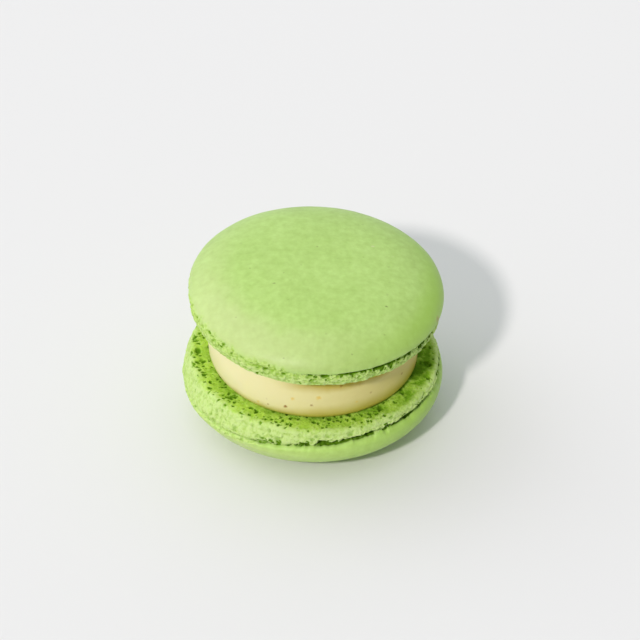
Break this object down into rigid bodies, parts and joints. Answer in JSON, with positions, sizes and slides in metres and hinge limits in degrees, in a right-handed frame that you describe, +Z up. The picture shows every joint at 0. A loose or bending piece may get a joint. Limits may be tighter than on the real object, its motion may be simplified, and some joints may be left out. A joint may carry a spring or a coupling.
{
  "type": "french macaron",
  "caption": "Round sandwich biscuit: smooth domed almond shells with ruffled feet round a thick layer of pale yellow cream, lying on the cap of the lower shell.",
  "frame": {"origin": "middle of the bottom of the whole macaron's box, on the surface it stands on", "axes": "+Z up through both shells, -Y towards the best side, +X to the right of it"},
  "size_m": [0.0512, 0.0506, 0.0354],
  "materials": {
    "baked_shell": "matte baked almond meringue, light green, smooth cap and porous foot",
    "vanilla_cream": "satin pale yellow cream"
  },
  "bodies": {
    "root": {"lower_shell": "baked_shell", "cream_filling": "vanilla_cream", "upper_shell": "baked_shell"}
  },
  "joints": []
}
